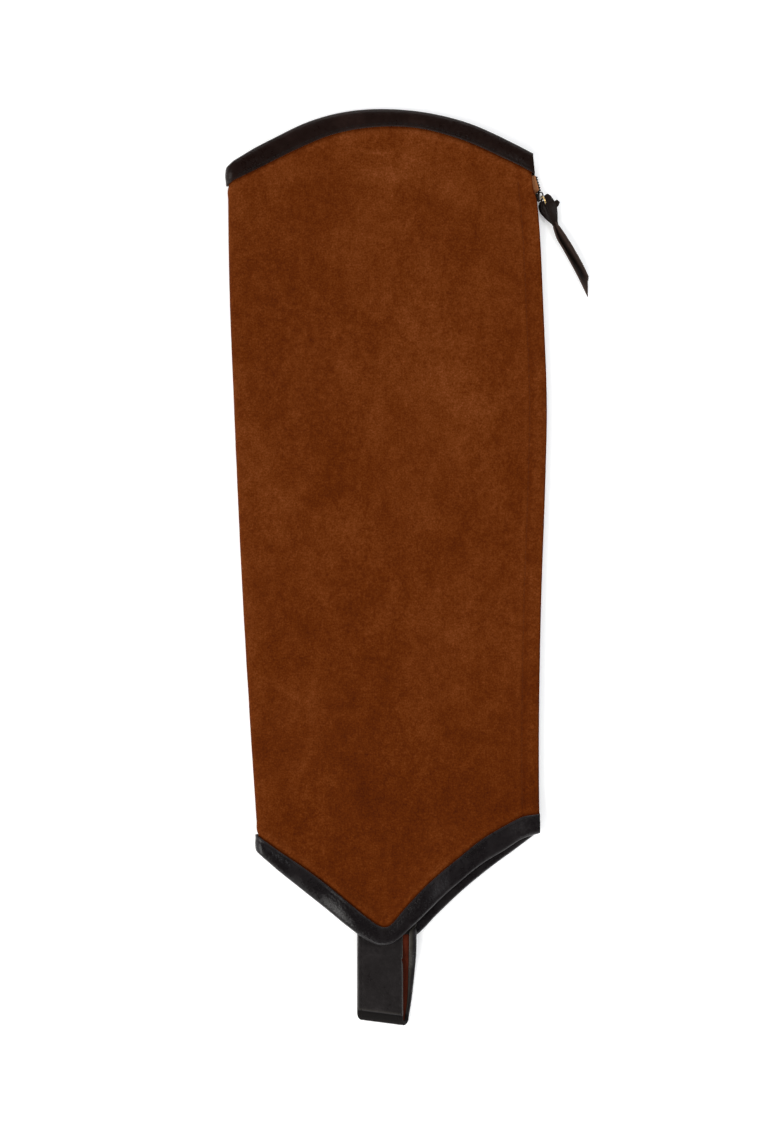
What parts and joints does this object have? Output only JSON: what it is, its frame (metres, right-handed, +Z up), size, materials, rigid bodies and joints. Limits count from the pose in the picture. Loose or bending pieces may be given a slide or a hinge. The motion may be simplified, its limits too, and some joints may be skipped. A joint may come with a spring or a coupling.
{
  "type": "tall gaiter",
  "caption": "Tall suede gaiter laid flat on its side: bound arched knee edge, bound V-shaped foot edge with an underfoot strap loop, side zip with ring and knotted thong pull.",
  "frame": {"origin": "centre of the bounding box's underside, on the surface that the gaiter lies on", "axes": "+Y from the foot end to the knee end, +X from the folded edge to the zip, +Z up off the surface it lies on"},
  "size_m": [0.211, 0.5316, 0.0108],
  "materials": {
    "suede": "napped suede",
    "black_leather": "smooth semi-matt",
    "lining_leather": "matt",
    "zip_tape": "woven",
    "dark_metal": "blackened",
    "brass": "polished, tarnished"
  },
  "bodies": {
    "gaiter": {"suede_wrap": "suede", "top_binding": "black_leather", "bottom_binding": "black_leather", "zip_tape_front": "zip_tape", "zip_tape_back": "zip_tape", "zip_chain": "dark_metal", "zip_teeth_front": "dark_metal", "zip_teeth_back": "dark_metal", "zip_slider": "dark_metal", "strap_outer": "black_leather", "strap_lining": "lining_leather"},
    "pull": {"pull_ring": "brass", "pull_knot": "black_leather", "pull_tail": "black_leather"}
  },
  "joints": [
    {"name": "pull_swing", "type": "hinge", "parent": "gaiter", "child": "pull", "pos_m": [0.07775, 0.2155, 0.00343], "axis": [0, 0, 1], "range_deg": [-5, 85]}
  ]
}
